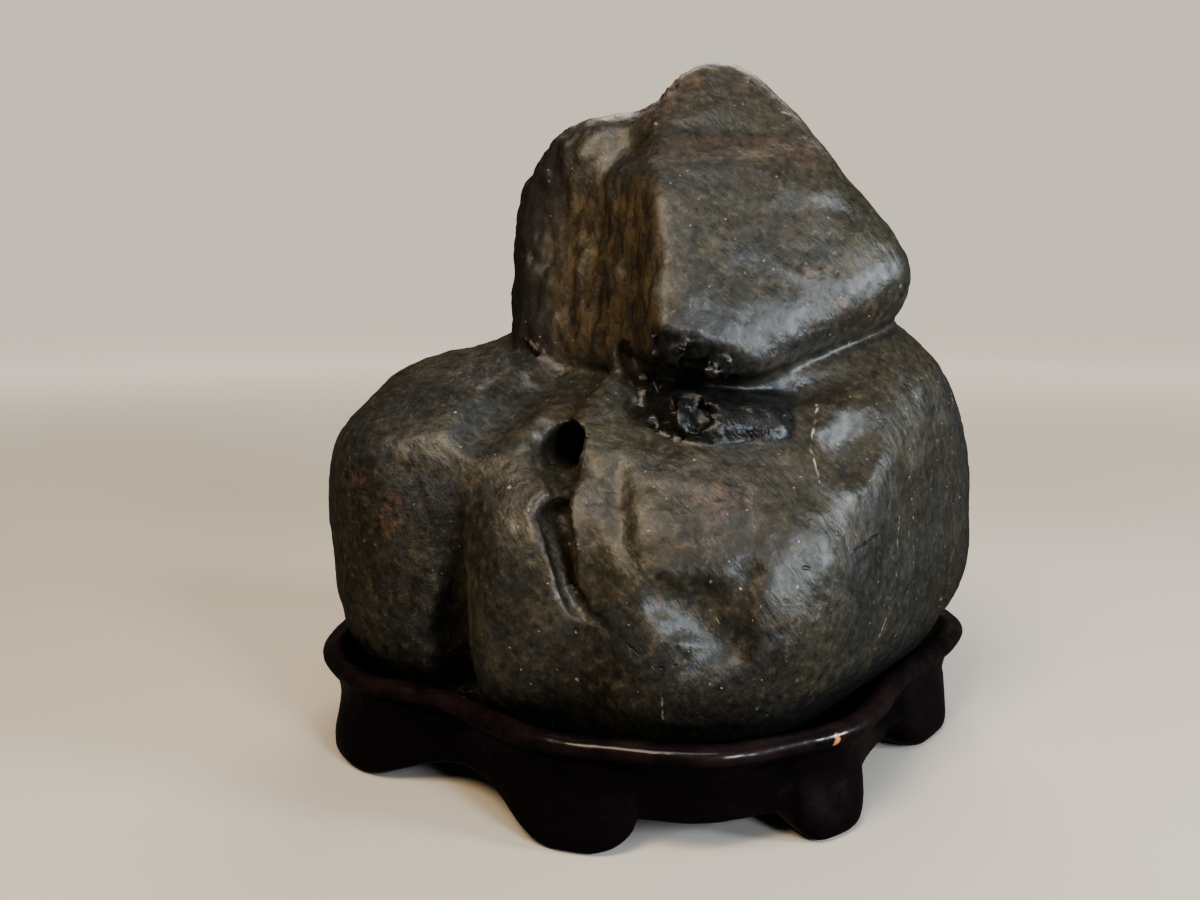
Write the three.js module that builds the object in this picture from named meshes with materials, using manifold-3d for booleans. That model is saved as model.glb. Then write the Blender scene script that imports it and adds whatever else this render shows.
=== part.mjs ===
// A scholar's rock on its carved wooden stand, in millimetres.
// X runs to the right, Y to the back and Z up, with the origin under the middle of the stand.
import * as THREE from "three";
import { mergeVertices } from "three/addons/utils/BufferGeometryUtils.js";
import Module from "manifold-3d";

// ---- Stone: each lobe is a rounded block, given by its centre and by faces ----
// A face is [azimuth, elevation, distance from the centre]: azimuth 0 looks to the front, 90 to +X.
const LEFT_LOBE = {
  centre: [-62, -2, 58],
  soft: 5,
  faces: [
    [-90, 0, 35.5], [-52, -4, 36], [-52, -35, 43.5], [-8, 3, 45], [-10, -25, 46.5],
    [-35, 70, 52], [-90, 42, 49.5], [0, 36, 58], [180, 0, 54], [-135, 5, 46],
    [180, 45, 60], [0, -90, 43], [-90, -40, 46], [90, 0, 34],
  ],
};
const MIDDLE_LOBE = {
  centre: [-38, -10, 55],
  soft: 5,
  faces: [
    [-15, 0, 56], [-75, 0, 24], [-12, 40, 56], [-20, 72, 50], [75, 0, 34],
    [172, 4, 66], [-125, 3, 48], [180, 50, 66], [0, -90, 40], [-12, -32, 57], [-60, 45, 52],
  ],
};
const RIGHT_LOBE = {
  centre: [30, -8, 60],
  soft: 5,
  faces: [
    [90, 0, 78], [72, 2, 69.5], [49, 5, 47.5], [49, -30, 50.5], [90, -38, 66],
    [80, 30, 77], [0, 8, 69], [0, -28, 72], [-55, 0, 76], [25, 50, 62],
    [10, 39, 62], [-4, 45, 60], [-30, 58, 63], [180, 0, 74], [-140, 0, 74],
    [125, 0, 70], [180, 42, 72], [110, 50, 80], [0, -90, 45],
  ],
};
const HEAD_LOBE = {
  centre: [18, 5, 140],
  soft: 3,
  faces: [
    [14, 25, 38], [-47, 0, 45], [85, 36, 47.5], [85, 49, 44.5], [95, 0, 54],
    [60, -10, 62], [34, -48, 41], [95, -30, 59], [180, 10, 44], [140, 25, 50],
    [-150, 10, 42], [-70, 40, 46], [0, 60, 40], [0, -90, 50], [180, 55, 50],
    [0, 90, 33], [-90, -12, 60],
  ],
};
const REAR_LOBE = {
  centre: [-12, 16, 140],
  soft: 5,
  faces: [
    [-90, -2, 33.5], [-60, 10, 36], [-75, 32, 43], [-90, 52, 48], [0, 85, 48.5],
    [180, 10, 34], [-135, 10, 34], [0, 8, 27], [90, 0, 30], [180, 55, 46],
    [0, -90, 45],
  ],
};
const PEAK_LOBE = {
  centre: [16, 4, 170],
  soft: 3,
  faces: [
    [5, 33, 22], [90, 41, 28], [-90, 34, 24.5], [90, 0, 32], [-75, 0, 24],
    [0, 85, 33.5], [180, 30, 24], [-130, 30, 24], [0, -90, 10],
  ],
};

// Hollows worn into the stone: a path of [x, y, z, radius] and the width of its rounded edge.
const SCOOP = { path: [[-26, -38, 164, 12], [-38, -48, 142, 24], [-44, -46, 120, 18]], edge: 10 };
const CLEFT = {
  path: [[-12, -30, 122, 5], [-24, -42, 106, 4.5], [-27, -52, 94, 5], [-31, -60, 80, 6],
    [-27, -70, 65, 5.5], [-14, -78, 51, 3]],
  edge: 2,
};
const CREVICE = { path: [[-53, -46, 74, 0.5], [-52, -56, 52, 5], [-51, -60, 26, 10]], edge: 4 };
const HOLE = { path: [[-25, -48, 91, 5.5], [-25, -30, 91, 5]], edge: 2.5 };

const STONE_DETAIL = 14; // subdivisions of each face of the icosahedron the stone starts from
const STONE_HEART = [4, 4, 99]; // point inside the stone that every part of its surface is seen from
const REACH = 150; // farther from the heart than any part of the surface
const SETTLE_ROUNDS = 30; // times the vertices are evened out and drawn back onto the surface
const CARVE_LEAD = 9; // how far short of its full depth each lower hollow is when the rounds begin

// ---- Stand: its section follows a closed outline, the top edge of the lip ----
const OUTLINE = [
  [-100.5, -10], [-93, -27], [-80, -40], [-62, -49], [-48, -62], [-34, -74], [-12, -81],
  [10, -84], [30, -77], [46, -68], [56, -56], [64, -42], [78, -22], [93, -3], [100, 14],
  [97, 34], [84, 52], [64, 66], [40, 75], [12, 77], [-14, 75], [-36, 68], [-60, 62],
  [-82, 52], [-96, 34], [-101, 12],
];
// Section of the stand, from under its middle, round the lip, to the floor of the seat.
// in: distance inward from the outline; up: height at an arch; drop and out: added at a foot.
const SECTION = [
  { in: 20, up: 7.2, drop: 0, out: 0 },
  { in: 16, up: 7.6, drop: 6.2, out: 0 },
  { in: 14.5, up: 8.3, drop: 8.3, out: 0 },
  { in: 8.5, up: 8.3, drop: 8.3, out: 1 },
  { in: 7, up: 9.6, drop: 8, out: 2 },
  { in: 6.6, up: 11.5, drop: 6, out: 2.4 },
  { in: 6.2, up: 14, drop: 3, out: 1.4 },
  { in: 5.2, up: 18, drop: 0, out: 0 },
  { in: 3.2, up: 22.5, drop: 0, out: 0 },
  { in: 0.9, up: 25.6, drop: 0, out: 0 },
  { in: 0, up: 27.7, drop: 0, out: 0 },
  { in: 0.8, up: 29.4, drop: 0, out: 0 },
  { in: 2.8, up: 30.2, drop: 0, out: 0 },
  { in: 5, up: 29.7, drop: 0, out: 0 },
  { in: 6.6, up: 28.2, drop: 0, out: 0 },
  { in: 9, up: 26.2, drop: 0, out: 0 },
  { in: 13, up: 24.5, drop: 0, out: 0 },
];
const STAND_SEGMENTS = 108; // steps round the stand
const NOMINAL_RADIUS = 100; // radius of the lip before it is drawn onto the outline
const BAND = 20; // the part of the section that keeps its width all the way round
// Feet, by the angle round the stand: azimuth of the middle and half the width of the sole, degrees.
const FEET = [
  { at: -18, half: 9 }, { at: 35, half: 8 }, { at: 80, half: 7 },
  { at: -68, half: 7 }, { at: 131, half: 7 }, { at: -133, half: 7 },
];
const FOOT_FLANK = 5.5; // degrees over which a foot runs out into the arch beside it
const SEAT_GAP = 0.4; // clearance between the stone and its seat

const radians = (degrees) => (degrees * Math.PI) / 180;

function smoothMin(a, b, width) {
  const h = Math.max(width - Math.abs(a - b), 0) / width;
  return Math.min(a, b) - (h * h * width) / 4;
}

const smoothMax = (a, b, width) => -smoothMin(-a, -b, width);

// The lobe as a function of a point: below zero inside, above zero outside.
function lobeField({ centre, soft, faces }) {
  const middle = new THREE.Vector3(...centre);
  const planes = faces.map(([azimuth, elevation, distance]) => {
    const a = radians(azimuth);
    const e = radians(elevation);
    const normal = new THREE.Vector3(
      Math.sin(a) * Math.cos(e),
      -Math.cos(a) * Math.cos(e),
      Math.sin(e),
    );
    return { normal, distance: distance + normal.dot(middle) };
  });
  return (p) => {
    const heights = planes.map(({ normal, distance }) => normal.dot(p) - distance);
    const top = Math.max(...heights);
    const sum = heights.reduce((s, h) => s + Math.exp((h - top) / soft), 0);
    return top + soft * Math.log(sum);
  };
}

// The distance to a path whose radius changes along it.
function pathField(path) {
  const parts = path.slice(1).map((end, i) => {
    const start = path[i];
    const from = new THREE.Vector3(...start);
    return { line: new THREE.Line3(from, new THREE.Vector3(...end)), start: start[3], end: end[3] };
  });
  const near = new THREE.Vector3();
  return (p) =>
    Math.min(
      ...parts.map(({ line, start, end }) => {
        const t = line.closestPointToPointParameter(p, true);
        return line.at(t, near).distanceTo(p) - (start + t * (end - start));
      }),
    );
}

const left = lobeField(LEFT_LOBE);
const middle = lobeField(MIDDLE_LOBE);
const right = lobeField(RIGHT_LOBE);
const head = lobeField(HEAD_LOBE);
const rear = lobeField(REAR_LOBE);
const peak = lobeField(PEAK_LOBE);
const scoop = pathField(SCOOP.path);
const lowerHollows = [HOLE, CLEFT, CREVICE].map(({ path, edge }) => ({
  depth: pathField(path),
  edge,
}));

// `carved` runs from 0, before the lower hollows are cut, to 1, when they are at full depth.
function stoneField(p, carved = 1) {
  const lead = (1 - carved) * CARVE_LEAD;
  const body = smoothMin(smoothMin(left(p), middle(p), 7), right(p), 4);
  const solidTop = smoothMin(smoothMin(head(p), rear(p), 4), peak(p), 7);
  const top = smoothMax(solidTop, -scoop(p), SCOOP.edge);
  return lowerHollows.reduce(
    (field, { depth, edge }) => smoothMax(field, -depth(p) - lead, edge),
    smoothMin(body, top, 8),
  );
}

function gradientOf(field, p) {
  const step = 0.2;
  const value = (x, y, z) => field(new THREE.Vector3(p.x + x, p.y + y, p.z + z));
  return new THREE.Vector3(
    value(step, 0, 0) - value(-step, 0, 0),
    value(0, step, 0) - value(0, -step, 0),
    value(0, 0, step) - value(0, 0, -step),
  ).divideScalar(2 * step);
}

// Moves a point along the slope of a field to where the field is `level`.
function drawOnto(field, p, level) {
  for (let round = 0; round < 3; round += 1) {
    const slope = gradientOf(field, p);
    const miss = (field(p) - level) / Math.max(slope.lengthSq(), 0.25);
    p.addScaledVector(slope, -THREE.MathUtils.clamp(miss, -3, 3));
  }
  return p;
}

// The ring of vertices round each vertex of an indexed geometry.
function neighboursOf(geometry) {
  const rings = Array.from({ length: geometry.attributes.position.count }, () => new Set());
  const corners = geometry.index.array;
  for (let i = 0; i < corners.length; i += 3) {
    for (let k = 0; k < 3; k += 1) {
      rings[corners[i + k]].add(corners[i + ((k + 1) % 3)]);
      rings[corners[i + ((k + 1) % 3)]].add(corners[i + k]);
    }
  }
  return rings.map((ring) => [...ring]);
}

// A sphere of triangles drawn onto the stone: every vertex starts where its ray leaves the stone.
function stoneVertices() {
  const sphere = new THREE.IcosahedronGeometry(1, STONE_DETAIL);
  sphere.deleteAttribute("normal");
  sphere.deleteAttribute("uv");
  const geometry = mergeVertices(sphere, 1e-4);
  const position = geometry.attributes.position;
  const heart = new THREE.Vector3(...STONE_HEART);
  const rings = neighboursOf(geometry);
  let points = rings.map((_, i) => {
    const ray = new THREE.Vector3().fromBufferAttribute(position, i).normalize();
    const at = (distance) => heart.clone().addScaledVector(ray, distance);
    let outside = REACH;
    while (stoneField(at(outside), 0) > 0) outside -= 1.5;
    return at(outside + 0.75);
  });
  for (let round = 1; round <= SETTLE_ROUNDS; round += 1) {
    const carved = Math.min(1, (1.5 * round) / SETTLE_ROUNDS);
    const field = (p) => stoneField(p, carved);
    points = points.map((p, i) => {
      const mean = new THREE.Vector3();
      rings[i].forEach((n) => mean.add(points[n]));
      mean.divideScalar(rings[i].length);
      return drawOnto(field, p.clone().lerp(mean, 0.5), 0);
    });
  }
  return { geometry, points };
}

function geometryFrom(points, index) {
  const flat = new Float32Array(points.flatMap((p) => [p.x, p.y, p.z]));
  return new THREE.BufferGeometry()
    .setAttribute("position", new THREE.BufferAttribute(flat, 3))
    .setIndex(index);
}

// The outline as a function of the azimuth: where it runs and which way it faces.
function outlineAt() {
  const curve = new THREE.CatmullRomCurve3(
    OUTLINE.map(([x, y]) => new THREE.Vector3(x, y, 0)),
    true,
    "centripetal",
  );
  const steps = 1440;
  const samples = Array.from({ length: steps }, (_, i) => {
    const point = curve.getPoint(i / steps);
    const along = curve.getTangent(i / steps);
    return {
      azimuth: Math.atan2(point.x, -point.y),
      point,
      outward: new THREE.Vector3(along.y, -along.x, 0),
    };
  }).sort((a, b) => a.azimuth - b.azimuth);
  return (azimuth) => {
    const wrapped = Math.atan2(Math.sin(azimuth), Math.cos(azimuth));
    const found = samples.findIndex((s) => s.azimuth >= wrapped);
    return samples[found < 0 ? 0 : found];
  };
}

// How much of a foot there is at an azimuth: 1 over its sole, 0 at the arches.
function footAt(azimuth) {
  const degrees = (azimuth * 180) / Math.PI;
  return Math.max(
    ...FEET.map(({ at, half }) => {
      const away = Math.abs(((degrees - at + 540) % 360) - 180);
      return 1 - THREE.MathUtils.smoothstep(away, half, half + FOOT_FLANK);
    }),
  );
}

function standBlock() {
  const profile = SECTION.map((s, i) => new THREE.Vector2(NOMINAL_RADIUS - s.in, i));
  profile.unshift(new THREE.Vector2(0, 0));
  profile.push(new THREE.Vector2(0, SECTION.length - 1));
  const lathe = new THREE.LatheGeometry(profile, STAND_SEGMENTS);
  lathe.deleteAttribute("normal");
  lathe.deleteAttribute("uv");
  lathe.rotateX(Math.PI / 2);
  const geometry = mergeVertices(lathe, 1e-4);
  const position = geometry.attributes.position;
  const outline = outlineAt();
  for (let i = 0; i < position.count; i += 1) {
    const radius = Math.hypot(position.getX(i), position.getY(i));
    const part = SECTION[Math.round(position.getZ(i))];
    const azimuth = Math.atan2(position.getX(i), -position.getY(i));
    const { point, outward } = outline(azimuth);
    const foot = footAt(azimuth);
    const inward = Math.min(NOMINAL_RADIUS - radius, BAND);
    const place = point.clone().addScaledVector(outward, part.out * foot - inward);
    if (radius < NOMINAL_RADIUS - BAND - 1) place.multiplyScalar(0);
    position.setXYZ(i, place.x, place.y, part.up - part.drop * foot);
  }
  return geometry;
}

function standAround(seat, wasm) {
  const solidOf = (geometry) =>
    new wasm.Manifold(
      new wasm.Mesh({
        numProp: 3,
        vertProperties: geometry.attributes.position.array,
        triVerts: new Uint32Array(geometry.index.array),
      }),
    );
  const cut = solidOf(standBlock()).subtract(solidOf(seat)).getMesh();
  return new THREE.BufferGeometry()
    .setAttribute("position", new THREE.BufferAttribute(cut.vertProperties, 3))
    .setIndex(new THREE.BufferAttribute(cut.triVerts, 1));
}

const wasm = await Module();
wasm.setup();

const { geometry: sphere, points: surface } = stoneVertices();
const stoneGeometry = geometryFrom(surface, sphere.index);
const seatGeometry = geometryFrom(
  surface.map((p) => drawOnto(stoneField, p.clone(), SEAT_GAP)),
  sphere.index,
);
const standGeometry = standAround(seatGeometry, wasm);

const stone = new THREE.Mesh(
  stoneGeometry,
  new THREE.MeshStandardMaterial({ color: 0x35322a, roughness: 0.5, metalness: 0 }),
);
stone.name = "stone";
const stand = new THREE.Mesh(
  standGeometry,
  new THREE.MeshStandardMaterial({ color: 0x140d0d, roughness: 0.35, metalness: 0 }),
);
stand.name = "stand";

// The whole object is moved so that the origin is under the middle of it.
const bounds = new THREE.Box3().setFromObject(stone).union(new THREE.Box3().setFromObject(stand));
const centre = bounds.getCenter(new THREE.Vector3());
[stoneGeometry, standGeometry].forEach((g) => g.translate(-centre.x, -centre.y, -bounds.min.z));

const rock = new THREE.Group();
rock.name = "scholars_rock";
rock.add(stand, stone);

export default rock;
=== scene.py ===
"""Looks of a dark viewing stone that rests in a low carved hardwood stand.

The stone and the stand are drawn in maker's millimetres, where the outline of the stand was laid out,
and moved once into the row frame in metres by the place of the CAD stand.
"""

import logging
import math
from dataclasses import dataclass, field
from enum import Enum
from functools import reduce
from typing import Any, Sequence

import bpy
import numpy as np
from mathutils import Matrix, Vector


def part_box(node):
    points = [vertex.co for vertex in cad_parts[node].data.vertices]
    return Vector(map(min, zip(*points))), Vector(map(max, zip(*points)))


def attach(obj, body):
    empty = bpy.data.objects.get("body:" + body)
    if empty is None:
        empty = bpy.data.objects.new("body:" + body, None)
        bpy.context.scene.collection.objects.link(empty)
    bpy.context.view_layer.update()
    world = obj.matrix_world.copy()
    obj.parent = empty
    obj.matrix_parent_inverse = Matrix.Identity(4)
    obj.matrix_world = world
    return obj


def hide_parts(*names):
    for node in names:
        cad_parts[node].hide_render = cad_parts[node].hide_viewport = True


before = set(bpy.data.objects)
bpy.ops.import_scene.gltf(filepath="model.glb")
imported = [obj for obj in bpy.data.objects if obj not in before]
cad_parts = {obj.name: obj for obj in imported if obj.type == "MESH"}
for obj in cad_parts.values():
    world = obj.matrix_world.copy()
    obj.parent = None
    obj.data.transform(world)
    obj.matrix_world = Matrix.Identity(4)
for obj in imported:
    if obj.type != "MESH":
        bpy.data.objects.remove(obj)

LOG = logging.getLogger("viewing_stone")
MM = 0.001
Point = tuple[float, float, float]
Station = tuple[float, float, float, float]
Colour = tuple[float, float, float, float]


class Piece(Enum):
    """Names of the visible pieces."""

    STONE = "viewing_stone"
    STAND = "carved_stand"
    FLOOR = "studio_floor"


class Slot(Enum):
    """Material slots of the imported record."""

    STONE = "stone"
    STAND = "stand_wood"


class Mask(Enum):
    """Named surface masks painted on the vertices."""

    # breaks, and painted shade in the gap under the head
    BROKEN_AND_GAP_SHADE = "broken"
    SCOOP = "scoop"
    # painted shade in the stone's hollows, and on the stand's underside and in its seat
    CAVITY_SHADE = "cavity_shade"
    # painted shade and dark wax near the stand's rim
    FOOT_SHADE_AND_WAX = "foot"
    EDGE = "edge"
    FLUTES = "flutes"
    PITS = "pits"
    REST = "rest"
    # rusty stains, and painted reddish highlights on lit lips
    RUST_AND_LIT_EDGES = "rust_and_lit_edge"
    # darker brown skin with painted shade on the right flank and the rear block
    SMOKE = "side_shade_and_skin"


# ---------------------------------------------------------------- shapes

EXPONENT_LIMIT = 30.0


def heading(azimuth: float, elevation: float) -> np.ndarray:
    """A unit direction.

    Args:
        azimuth: Degrees from the front towards the right.
        elevation: Degrees above the level.

    Returns:
        The direction as three numbers.
    """
    turn, rise = math.radians(azimuth), math.radians(elevation)
    level = math.cos(rise)
    return np.array([math.sin(turn) * level, -math.cos(turn) * level, math.sin(rise)], np.float32)


def join(first: np.ndarray, second: np.ndarray, fillet: float) -> np.ndarray:
    """Unites two solids with a fillet.

    Args:
        first: Distances to the first solid.
        second: Distances to the second solid.
        fillet: Width over which the two run together.

    Returns:
        Distances to the united solid.
    """
    gap = np.maximum(fillet - np.abs(first - second), 0) / fillet
    return np.minimum(first, second) - gap * gap * fillet * 0.25


def cut(solid: np.ndarray, tool: np.ndarray, edge: float) -> np.ndarray:
    """Takes a tool's volume away and rounds the new edge.

    Args:
        solid: Distances to the solid.
        tool: Distances to the tool.
        edge: Width of the rounded edge.

    Returns:
        Distances to what is left.
    """
    return -join(-solid, tool, edge)


def fade(values: np.ndarray, start: float, end: float) -> np.ndarray:
    """A smooth step.

    Args:
        values: What is stepped.
        start: Value where the step is 0.
        end: Value where the step is 1.

    Returns:
        Numbers from 0 to 1.
    """
    share = np.clip((values - start) / (end - start), 0, 1)
    return share * share * (3 - 2 * share)


@dataclass(frozen=True)
class Lobe:
    """A rounded block of stone: flat faces round a centre, with soft edges between them."""

    centre: Point
    softness: float
    faces: tuple[tuple[float, float, float], ...]

    def distance(self, points: np.ndarray) -> np.ndarray:
        """Distances to the block.

        Args:
            points: Places in maker's millimetres.

        Returns:
            One distance for each place, negative inside.
        """
        offset = points - np.array(self.centre, np.float32)
        total = np.zeros(points.shape[:-1], np.float32)
        for azimuth, elevation, reach in self.faces:
            over = (offset @ heading(azimuth, elevation) - reach) / self.softness
            total += np.exp(np.clip(over, -EXPONENT_LIMIT, EXPONENT_LIMIT))
        return self.softness * np.log(total)


@dataclass(frozen=True)
class Track:
    """A round section swept along stations of (x, y, z, radius)."""

    stations: tuple[Station, ...]
    edge: float = 2.0

    def near(self, points: np.ndarray, margin: float) -> np.ndarray:
        """Which points the track can touch.

        Args:
            points: A list of places.
            margin: Extra room round the track.

        Returns:
            Indices of the near points.
        """
        rows = np.array(self.stations, np.float32)
        room = rows[:, 3:] + margin
        low, high = (rows[:, :3] - room).min(0), (rows[:, :3] + room).max(0)
        return np.flatnonzero(np.all((points > low) & (points < high), axis=-1))

    def distance(self, points: np.ndarray) -> np.ndarray:
        """Distances to the swept section.

        Args:
            points: Places in maker's millimetres.

        Returns:
            One distance for each place, negative inside.
        """
        rows = np.array(self.stations, np.float32)
        nearest = None
        for start, end in zip(rows[:-1], rows[1:]):
            along = end[:3] - start[:3]
            share = np.clip((points - start[:3]) @ along / (along @ along), 0, 1)
            away = np.linalg.norm(points - start[:3] - share[..., None] * along, axis=-1)
            away = away - (start[3] + share * (end[3] - start[3]))
            nearest = away if nearest is None else np.minimum(nearest, away)
        return nearest

    def mask(self, points: np.ndarray, blur: float) -> np.ndarray:
        """A painted area round the track.

        Args:
            points: Vertex places.
            blur: Width of the soft border.

        Returns:
            1 inside the track, falling to 0 over the border.
        """
        painted = np.zeros(len(points), np.float32)
        close = self.near(points, blur)
        painted[close] = 1 - fade(self.distance(points[close]), 0, blur)
        return painted


@dataclass(frozen=True)
class StoneForm:
    """The stone's own shape: six blocks run together, then weathered and cracked."""

    left: Lobe = Lobe((-62, -2, 58), 4.2, (
        (-90, 0, 35.5), (-52, -4, 36), (-52, -35, 43.5), (-8, 3, 45), (-10, -25, 46.5), (-35, 70, 52),
        (-90, 42, 49.5), (0, 36, 58), (180, 0, 54), (-135, 5, 46), (180, 45, 60), (0, -90, 43),
        (-90, -40, 46), (90, 0, 34)))
    middle: Lobe = Lobe((-38, -10, 55), 5, (
        (-15, 0, 56), (-75, 0, 24), (-12, 40, 56), (-20, 72, 50), (75, 0, 34), (172, 4, 66),
        (-125, 3, 48), (180, 50, 66), (0, -90, 40), (-12, -32, 57), (-60, 45, 52)))
    right: Lobe = Lobe((30, -8, 60), 5, (
        (90, 0, 78), (72, 2, 69.5), (49, 5, 47.5), (49, -30, 50.5), (90, -38, 66), (80, 30, 77),
        (0, 8, 69), (0, -28, 72), (-55, 0, 76), (25, 50, 62), (10, 39, 62), (-4, 45, 60),
        (-30, 58, 63), (180, 0, 74), (-140, 0, 74), (125, 0, 70), (180, 42, 72), (110, 50, 80),
        (0, -90, 45)))
    ridge: Lobe = Lobe((0, -35, 90), 2.2, (
        (-116, 18.5, 23.2), (8, 49, 13.2), (-20, 5, 24), (60, 10, 14), (180, 0, 24), (0, -90, 30),
        (-60, 0, 32)))
    head: Lobe = Lobe((18, 5, 140), 3.2, (
        (14, 25, 38), (-53, 15, 45), (85, 36, 47.5), (85, 49, 44.5), (95, 0, 54), (60, -10, 62),
        (-48, -62, 44.5), (72, -64, 36.5), (25, 2, 49.4), (33, -14, 51.8), (46, -34, 50.2), (95, -30, 59),
        (180, 10, 44), (140, 25, 50), (-150, 10, 42),
        (-70, 40, 46), (0, 60, 40), (0, -90, 50), (180, 55, 50), (0, 90, 33), (-90, -12, 60)))
    rear: Lobe = Lobe((-12, 16, 140), 5, (
        (-90, -2, 33.5), (-60, 10, 36), (-75, 32, 43), (-90, 52, 48), (0, 85, 48.5), (180, 10, 34),
        (-135, 10, 34), (0, 8, 27), (90, 0, 30), (180, 55, 46), (0, -90, 45)))
    peak: Lobe = Lobe((16, 4, 170), 3, (
        (5, 33, 19), (90, 41, 28), (-90, 34, 24.5), (90, 0, 32), (-75, 0, 24), (0, 85, 33.5),
        (180, 30, 24), (-130, 30, 24), (0, -90, 10)))
    slab: Lobe = Lobe((14, -38, 101), 1.0, (
        (6, -12, 13.6), (2, 42, 9.4), (30, 78, 7.4), (68, 12, 19), (-62, 10, 17), (-30, -30, 15),
        (0, -75, 9), (180, 0, 14)))
    scoop: Track = Track(((-54.7, -50.5, 164, 55), (-55, -54.5, 153, 55), (-56.3, -56.9, 142, 55),
                          (-56.7, -60.1, 131, 55), (-56.9, -62.6, 120, 55)), 3)
    lip: Track = Track(((-40, -9, 122, 0.6), (-33.5, -14, 116.5, 1.0), (-27, -18.5, 112, 0.7)), 1.5)
    cuts: tuple[Track, ...] = (
        # the gap under the head
        Track(((-9, -39, 112.5, 5.2), (4, -41, 109, 6.2), (20, -42, 107, 5.6), (36, -38, 110, 4.5),
               (54, -31, 117, 3.5), (68, -22, 125, 2.4), (80, -8, 131, 0.8)), 2.5),
        # gully between the ridge and the slab
        Track(((-9, -30, 118, 3.4), (-6, -33, 113, 4), (-7, -38, 106, 2.6)), 1.5),
        # shaded valley left of the ridge
        Track(((-32, -24, 117, 9.5), (-36, -29, 115.5, 11.5), (-42, -38, 111, 12), (-48, -46, 104.5, 11)), 3),
        # nick at the head's right end
        Track(((66, -34, 132.5, 2.4), (68, -30, 128.5, 2.8), (73, -26, 126, 2)), 1),
        # pit, and its pocket
        Track(((-31.5, -42, 101, 3), (-28.5, -48, 95.5, 5.8), (-26, -54, 89, 3.4)), 1),
        Track(((-27, -46, 95.5, 6), (-20, -32, 93, 6)), 1),
        Track(((-32.5, -45, 97.5, 3), (-31, -51, 91, 2.4), (-28, -56, 85.5, 1.8)), 0.8),
        # the crack between the middle and the right block
        Track(((-25.5, -57.5, 85.5, 1.6), (-29, -60, 80.5, 4), (-27.3, -62, 75.5, 3.9),
               (-25.8, -64.5, 69.5, 3.3), (-25, -66.5, 64, 2.2), (-22.5, -67.5, 59.5, 2.4),
               (-20, -68.5, 57, 1.2), (-17, -70.2, 56.4, 1.2), (-14.8, -72, 54, 1),
               (-11.5, -74, 52.6, 0.7)), 0.8),
        Track(((-27, -57, 80, 3.6), (-23.5, -60, 72, 3.2), (-22, -63, 64, 2)), 1),
        # the crevice left of the middle block
        Track(((-54.5, -48, 79, 1), (-55.5, -47.5, 68, 3.2), (-53, -46.5, 56, 5.2),
               (-55, -45.5, 42, 8), (-52, -44.5, 27, 11.8)), 3.5),
        # soft crease down the right block
        Track(((-12.5, -55.4, 93.5, 1.8), (-12.6, -62.6, 84.5, 2.2), (-12.7, -69.2, 77, 2.2),
               (-9.3, -74, 69.5, 1.4)), 3),
        # lumpy hollow on the belly
        Track(((-1, -78.5, 63.5, 7), (7, -79.5, 60.5, 9.4), (12, -80, 54, 8.4), (6, -81.5, 49, 7)), 2),
        Track(((-2.5, -75.4, 60.5, 1.3), (-0.6, -75.2, 64.6, 1.8), (4.5, -74.6, 67, 1.8),
               (10.5, -74, 65.5, 1.2)), 1),
        Track(((-4.4, -76.4, 57.5, 1.2), (-0.5, -76, 55.6, 1.6), (3.2, -75.6, 55.5, 1.2)), 1),
        Track(((18, -74.5, 69.5, 3), (13, -77.5, 59, 4), (7, -79.5, 49.5, 3)), 2.5),
        # dish by the right shoulder
        Track(((54, -52, 104, 13.2), (49, -56.5, 99.5, 14)), 2),
        # a sheet line on the right flank
        Track(((97, 8, 92, 1.6), (92, -5.5, 87, 1.6), (86, -14.5, 79.5, 0.9)), 0.8),
        # waist of the back, and a long fold
        Track(((-58, 70, 112, 9), (-20, 62, 108, 7), (30, 72, 104, 9), (70, 66, 112, 10)), 12),
        Track(((14, 82, 92, 6), (4, 84, 62, 7), (10, 80, 30, 6)), 9),
        Track(((96, 44, 112, 5), (108, 34, 84, 7), (104, 30, 50, 5)), 10),
    )
    broken: tuple[Track, ...] = (
        Track(((-5, -48, 119, 4.5), (8, -49, 114.5, 6), (22, -48, 110.5, 5)), 2),
        Track(((-4, -40, 106, 5), (6, -44, 102, 5)), 2),
    )
    # rusty stains, and a painted reddish highlight on the crack's left lip: a track, the width of its soft
    # border, and its strength
    stains_and_lit_edges: tuple[tuple[Track, float, float], ...] = (
        # painted highlight: the reddish lit edge of the crack's left lip
        (Track(((-31.5, -59, 82, 1.2), (-29, -64, 75, 1), (-27, -67, 68, 1), (-26, -69, 61, 1))), 1.5, 0.25),
        (Track(((-3, -22, 172, 2), (8, -20, 174, 2.5), (22, -18, 174, 2.5), (44, -14, 169, 2))), 5, 0.2),
        (Track(((-2, -8, 184, 2), (1, -6, 189, 2), (7, -2, 194, 2))), 5, 0.25),
        (Track(((-71, -43, 79, 2), (-73, -42, 75, 2))), 4, 0.3),
    )
    chip_size: float = 7.5
    chip_lean: float = 0.4
    chip_depth: float = 1.2
    chip_most: float = 2.2
    seed: int = 7

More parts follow.
